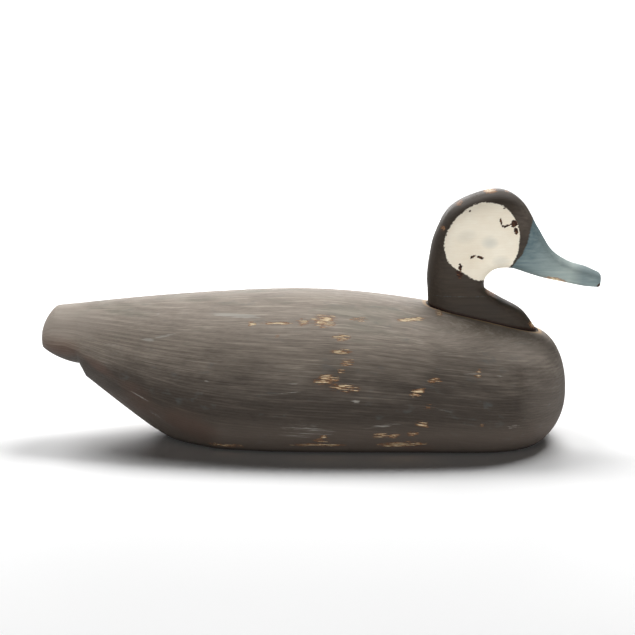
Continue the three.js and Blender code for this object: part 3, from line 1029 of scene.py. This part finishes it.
# The bristles carry each paint up to 1.3 mm past its line, which leaves the teeth.
cheek_depth_here = add("Attribute", output="Fac", attribute_name="cheek")
cheek_edge = add("Math", {0: bristles, 1: 2.6, 2: cheek_depth_here}, operation="MULTIPLY_ADD")
cheek_on = add("MapRange", {"Value": cheek_edge, "From Min": 1.15, "From Max": 1.55})
bill_edge = add("Math", {0: bristles, 1: 2.0, 2: bill_depth_here}, operation="MULTIPLY_ADD")
bill_on = add("MapRange", {"Value": bill_edge, "From Min": 0.6, "From Max": 1.4})

chipped = ragged(add, "chips", flecks, spread=1.6, low=0.3, high=0.42)
chip_tone = add("MapRange", {"Value": bristles, "From Min": 0.5, "From Max": 0.7})
chip = add("Mix", {SHARE: chip_tone, UNDER: CHIPPED_WOOD, OVER: CHIPPED_EDGE}, MIXED, data_type="RGBA")
rubbed = ragged(add, "bare", flecks, spread=2.2, low=0.3, high=0.5)
fresh = ragged(add, "bare", flecks, spread=2.2, low=0.75, high=0.95)
rubbed_share = add("Math", {0: rubbed, 1: 0.75}, operation="MULTIPLY")
foot = add("Attribute", output="Fac", attribute_name="foot")
foot = add("Math", {0: flecks, 1: 2.0, 2: foot}, operation="MULTIPLY_ADD")
foot_dirty = add("MapRange", {"Value": foot, "From Min": 2.6, "From Max": 1.6})

# Each layer over the cap's paint, from the lowest up.
colour = cap
for share, layer in [
    (cheek_on, cheek),
    (bill_on, bill),
    (chipped, chip),
    (rubbed_share, RUBBED_WOOD),
    (fresh, FRESH_WOOD),
    (foot_dirty, FOOT_DIRT),
]:
    colour = add("Mix", {SHARE: share, UNDER: colour, OVER: layer}, MIXED, data_type="RGBA")

depth = add("Math", {0: fine_strokes, 1: 0.7, 2: strokes}, operation="MULTIPLY_ADD")
depth = add("Math", {0: chipped, 1: -0.9, 2: depth}, operation="MULTIPLY_ADD")
grain = add("Bump", {"Height": depth, "Distance": 0.06 * MM, "Strength": 0.6})
roughness_limits = {"From Min": 0.3, "From Max": 0.7, "To Min": 0.6, "To Max": 0.75}
shader = add("BsdfPrincipled", {
    "Base Color": colour,
    "Roughness": add("MapRange", {"Value": mottle, **roughness_limits}),
    "IOR": 1.48,
    "Specular IOR Level": 0.2,
    "Normal": grain,
})
add("OutputMaterial", {"Surface": shader})
head.data.materials.append(painted_head)
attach(head, "root")
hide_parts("head")


# Floor: a plain white sweep of paper, laid flat and wide enough to fill the view. It is matt, so that
# the decoy's soft shadow shows on it without a reflection.
FLOOR_HALF = 1.1
FLOOR_WHITE = paint("#f4f4f4")

floor_corners = np.array([(-1, -1, 0), (1, -1, 0), (1, 1, 0), (-1, 1, 0)]) * FLOOR_HALF / MM
floor = new_piece("floor", floor_corners, [(0, 1, 2, 3)])
paper, add = new_material("matt white paper")
add("OutputMaterial", {"Surface": add("BsdfPrincipled", {"Base Color": FLOOR_WHITE, "Roughness": 0.9})})
floor.data.materials.append(paper)


# Light: two soft boxes behind the decoy, high on either side, a low one behind that brightens the sweep,
# and a wide flat one in front, close to the floor. The pale walls of the room add next to nothing, and
# the camera sees them as plain white.
ROOM_SEEN = 1.2
ROOM_LIGHT = 0.008
BACK_RIGHT_BOX = {"elevation": 56, "turn": 152, "distance": 2.0, "size": (1.2, 0.8), "power": 40}
BACK_LEFT_BOX = {"elevation": 48, "turn": 219, "distance": 2.0, "size": (1.1, 0.8), "power": 27}
BACK_LOW_BOX = {"elevation": 12, "turn": 180, "distance": 2.0, "size": (1.0, 0.45), "power": 20}
FRONT_LOW_BOX = {"elevation": 2, "turn": 5, "distance": 2.0, "size": (3.2, 0.3), "power": 31}

world = bpy.data.worlds.new("white room")
world.use_nodes = True
room = world.node_tree.nodes["Background"]
room.inputs["Color"].default_value = (1, 1, 1, 1)
seen = add_node(world.node_tree, "LightPath", output="Is Camera Ray")
room_limits = {"To Min": ROOM_LIGHT, "To Max": ROOM_SEEN}
brightness = add_node(world.node_tree, "MapRange", {"Value": seen, **room_limits})
world.node_tree.links.new(brightness, room.inputs["Strength"])
bpy.context.scene.world = world


def soft_box(name, place):
    """A flat lamp that looks at the decoy from this height and side; turn 0 is the camera's side."""
    light = bpy.data.lights.new(name, "AREA")
    light.shape = "RECTANGLE"
    light.size, light.size_y = place["size"]
    light.energy = place["power"]
    elevation = math.radians(place["elevation"])
    turn = math.radians(place["turn"])
    lamp = bpy.data.objects.new(name, light)
    lamp.location = (
        place["distance"] * math.cos(elevation) * math.sin(turn),
        -place["distance"] * math.cos(elevation) * math.cos(turn),
        place["distance"] * math.sin(elevation),
    )
    lamp.rotation_euler = (math.pi / 2 - elevation, 0, turn)
    bpy.context.scene.collection.objects.link(lamp)


soft_box("back right soft box", BACK_RIGHT_BOX)
soft_box("back left soft box", BACK_LEFT_BOX)
soft_box("back low soft box", BACK_LOW_BOX)
soft_box("front low soft box", FRONT_LOW_BOX)
bpy.context.scene.view_settings.view_transform = "Standard"
